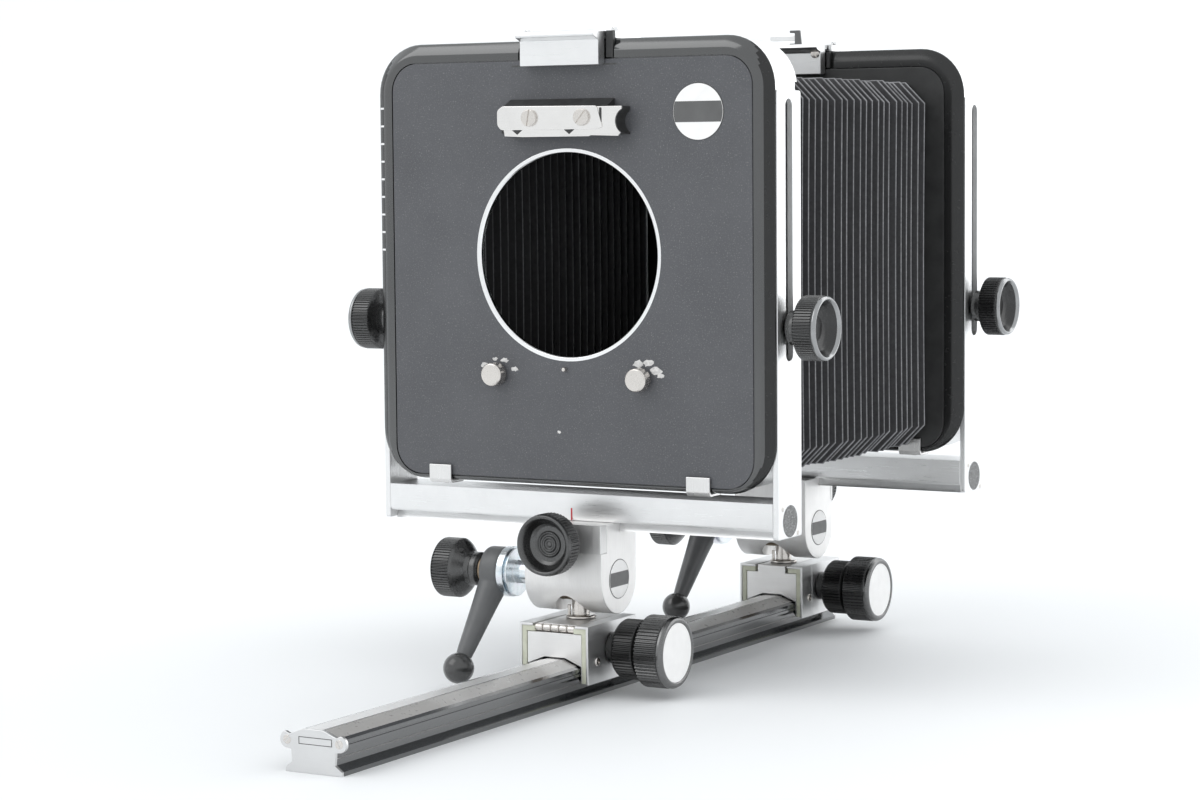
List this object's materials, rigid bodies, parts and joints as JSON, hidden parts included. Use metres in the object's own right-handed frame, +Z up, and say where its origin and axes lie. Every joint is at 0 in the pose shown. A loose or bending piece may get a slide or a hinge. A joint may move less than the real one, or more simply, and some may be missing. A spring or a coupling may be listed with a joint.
{
  "type": "view camera",
  "caption": "Monorail view camera: two U-shaped standards on an extruded rail, pleated bellows, lens board with a round hole, ground-glass back.",
  "frame": {"origin": "centre of the rail's foot", "axes": "+Z up, +Y along the rail towards the back, the lens side faces -Y"},
  "size_m": [0.2236, 0.4191, 0.2813],
  "materials": {
    "satin_aluminium": "satin",
    "bright_strip": "polished",
    "black_anodised": "gloss black anodised",
    "black_gloss": "gloss black paint",
    "board_paint": "fine wrinkle paint",
    "black_plastic": "satin black",
    "lever_grey": "satin dark grey",
    "zinc": "zinc plated",
    "steel": "nickel plated",
    "bellows_leather": "matt black bellows cloth",
    "ground_glass": "ground"
  },
  "bodies": {
    "rail": {"rail": "black_anodised", "rail_strip": "bright_strip", "rail_end_caps": "satin_aluminium"},
    "front_carrier": {"front_carrier_shell": "satin_aluminium", "front_carrier_core": "satin_aluminium", "front_carrier_screws": "steel"},
    "front_focus_knob": {"front_focus_shaft": "steel", "front_focus_knob": "black_plastic"},
    "front_lock_ring": {"front_lock_ring": "black_plastic"},
    "front_swing_neck": {"front_neck": "steel"},
    "front_tilt_head": {"front_tilt_block": "satin_aluminium", "front_shift_jaw": "satin_aluminium", "front_tilt_spindle": "zinc"},
    "front_lever": {"front_tilt_lever": "lever_grey"},
    "front_tilt_knob": {"front_tilt_knob": "black_plastic"},
    "front_shift_knob": {"front_shift_knob": "black_plastic"},
    "front_standard": {"front_crossbar": "satin_aluminium", "front_uprights": "satin_aluminium"},
    "front_format_frame": {"front_frame_band": "satin_aluminium", "front_frame_rim": "black_gloss", "front_rise_bolts": "steel", "front_board_lock": "satin_aluminium", "front_clips": "satin_aluminium", "lens_board": "board_paint", "board_bracket": "satin_aluminium", "board_studs": "steel", "front_bellows_plate": "black_gloss", "bellows": "bellows_leather"},
    "front_rise_knob_left": {"front_rise_knob_left": "black_plastic"},
    "front_rise_knob_right": {"front_rise_knob_right": "black_plastic"},
    "front_lock_slider": {"front_lock_slider": "satin_aluminium"},
    "rear_carrier": {"rear_carrier_shell": "satin_aluminium", "rear_carrier_core": "satin_aluminium", "rear_carrier_screws": "steel"},
    "rear_focus_knob": {"rear_focus_shaft": "steel", "rear_focus_knob": "black_plastic"},
    "rear_lock_ring": {"rear_lock_ring": "black_plastic"},
    "rear_swing_neck": {"rear_neck": "steel"},
    "rear_tilt_head": {"rear_tilt_block": "satin_aluminium", "rear_shift_jaw": "satin_aluminium", "rear_tilt_spindle": "zinc"},
    "rear_lever": {"rear_tilt_lever": "lever_grey"},
    "rear_tilt_knob": {"rear_tilt_knob": "black_plastic"},
    "rear_shift_knob": {"rear_shift_knob": "black_plastic"},
    "rear_standard": {"rear_crossbar": "satin_aluminium", "rear_uprights": "satin_aluminium"},
    "rear_format_frame": {"rear_frame_band": "satin_aluminium", "rear_frame_rim": "black_gloss", "rear_rise_bolts": "steel", "rear_board_lock": "satin_aluminium", "rear_clips": "satin_aluminium", "rear_bellows_plate": "black_gloss", "back_plate": "black_gloss", "back_springs": "steel", "rear_hook": "lever_grey"},
    "rear_rise_knob_left": {"rear_rise_knob_left": "black_plastic"},
    "rear_rise_knob_right": {"rear_rise_knob_right": "black_plastic"},
    "rear_lock_slider": {"rear_lock_slider": "satin_aluminium"},
    "glass_back": {"glass_holder": "black_gloss", "ground_glass": "ground_glass"}
  },
  "joints": [
    {"name": "front_focus", "type": "slide", "parent": "rail", "child": "front_carrier", "axis": [0, 1, 0], "range_m": [-0.165, 0.0075], "deforming": ["bellows"]},
    {"name": "front_focus_turn", "type": "hinge", "parent": "front_carrier", "child": "front_focus_knob", "pos_m": [0, -0.0174, 0.0194], "axis": [1, 0, 0], "continuous": true},
    {"name": "front_lock_turn", "type": "hinge", "parent": "front_carrier", "child": "front_lock_ring", "pos_m": [0, -0.0174, 0.0194], "axis": [1, 0, 0], "range_deg": [0, 60]},
    {"name": "front_swing", "type": "hinge", "parent": "front_carrier", "child": "front_swing_neck", "pos_m": [0, -0.0151, 0.0306], "axis": [0, 0, 1], "range_deg": [-6.5, 6.5], "deforming": ["bellows"]},
    {"name": "front_tilt", "type": "hinge", "parent": "front_swing_neck", "child": "front_tilt_head", "pos_m": [0, -0.0151, 0.048], "axis": [1, 0, 0], "range_deg": [-4.8, 15], "deforming": ["bellows"]},
    {"name": "front_tilt_lever_turn", "type": "hinge", "parent": "front_tilt_head", "child": "front_lever", "pos_m": [-0.0402, -0.0151, 0.048], "axis": [1, 0, 0], "range_deg": [-60, 0]},
    {"name": "front_tilt_knob_turn", "type": "hinge", "parent": "front_tilt_head", "child": "front_tilt_knob", "pos_m": [-0.06, -0.0151, 0.048], "axis": [-1, 0, 0], "range_deg": [0, 180]},
    {"name": "front_shift_knob_turn", "type": "hinge", "parent": "front_tilt_head", "child": "front_shift_knob", "pos_m": [0, -0.0151, 0.0643], "axis": [0, -1, 0], "range_deg": [0, 180]},
    {"name": "front_shift", "type": "slide", "parent": "front_tilt_head", "child": "front_standard", "axis": [1, 0, 0], "range_m": [-0.025, 0.025], "deforming": ["bellows"]},
    {"name": "front_rise", "type": "slide", "parent": "front_standard", "child": "front_format_frame", "axis": [0, 0, 1], "range_m": [-0.0015, 0.05], "deforming": ["bellows"]},
    {"name": "front_rise_knob_left_turn", "type": "hinge", "parent": "front_format_frame", "child": "front_rise_knob_left", "pos_m": [-0.1, -0.0088, 0.1536], "axis": [-1, 0, 0], "range_deg": [0, 180]},
    {"name": "front_rise_knob_right_turn", "type": "hinge", "parent": "front_format_frame", "child": "front_rise_knob_right", "pos_m": [0.1, -0.0088, 0.1536], "axis": [1, 0, 0], "range_deg": [0, 180]},
    {"name": "front_lock_slide", "type": "slide", "parent": "front_format_frame", "child": "front_lock_slider", "axis": [0, 0, 1], "range_m": [0, 0.0045]},
    {"name": "rear_focus", "type": "slide", "parent": "rail", "child": "rear_carrier", "axis": [0, 1, 0], "range_m": [-0.0075, 0.0035], "deforming": ["bellows"]},
    {"name": "rear_focus_turn", "type": "hinge", "parent": "rear_carrier", "child": "rear_focus_knob", "pos_m": [0, 0.1835, 0.0194], "axis": [1, 0, 0], "continuous": true},
    {"name": "rear_lock_turn", "type": "hinge", "parent": "rear_carrier", "child": "rear_lock_ring", "pos_m": [0, 0.1835, 0.0194], "axis": [1, 0, 0], "range_deg": [0, 60]},
    {"name": "rear_swing", "type": "hinge", "parent": "rear_carrier", "child": "rear_swing_neck", "pos_m": [0, 0.1769, 0.0306], "axis": [0, 0, 1], "range_deg": [-6.5, 6.5], "deforming": ["bellows"]},
    {"name": "rear_tilt", "type": "hinge", "parent": "rear_swing_neck", "child": "rear_tilt_head", "pos_m": [0, 0.1769, 0.048], "axis": [1, 0, 0], "range_deg": [-15, 4.8], "deforming": ["bellows"]},
    {"name": "rear_tilt_lever_turn", "type": "hinge", "parent": "rear_tilt_head", "child": "rear_lever", "pos_m": [-0.0402, 0.1769, 0.048], "axis": [1, 0, 0], "range_deg": [-60, 0]},
    {"name": "rear_tilt_knob_turn", "type": "hinge", "parent": "rear_tilt_head", "child": "rear_tilt_knob", "pos_m": [-0.06, 0.1769, 0.048], "axis": [-1, 0, 0], "range_deg": [0, 180]},
    {"name": "rear_shift_knob_turn", "type": "hinge", "parent": "rear_tilt_head", "child": "rear_shift_knob", "pos_m": [0, 0.1769, 0.0643], "axis": [0, 1, 0], "range_deg": [0, 180]},
    {"name": "rear_shift", "type": "slide", "parent": "rear_tilt_head", "child": "rear_standard", "axis": [1, 0, 0], "range_m": [-0.025, 0.025], "deforming": ["bellows"]},
    {"name": "rear_rise", "type": "slide", "parent": "rear_standard", "child": "rear_format_frame", "axis": [0, 0, 1], "range_m": [-0.0015, 0.05], "deforming": ["bellows"]},
    {"name": "rear_rise_knob_left_turn", "type": "hinge", "parent": "rear_format_frame", "child": "rear_rise_knob_left", "pos_m": [-0.1, 0.1832, 0.1536], "axis": [-1, 0, 0], "range_deg": [0, 180]},
    {"name": "rear_rise_knob_right_turn", "type": "hinge", "parent": "rear_format_frame", "child": "rear_rise_knob_right", "pos_m": [0.1, 0.1832, 0.1536], "axis": [1, 0, 0], "range_deg": [0, 180]},
    {"name": "rear_lock_slide", "type": "slide", "parent": "rear_format_frame", "child": "rear_lock_slider", "axis": [0, 0, 1], "range_m": [0, 0.0045]},
    {"name": "glass_back_slide", "type": "slide", "parent": "rear_format_frame", "child": "glass_back", "axis": [0, 1, 0], "range_m": [0, 0.005], "stiffness_N_per_m": 3000, "springref_m": -0.001}
  ],
  "couplings": [
    {"joint": "front_focus_turn", "follows": "front_focus", "rad_per_m": -333.33},
    {"joint": "rear_focus_turn", "follows": "rear_focus", "rad_per_m": -333.33}
  ]
}
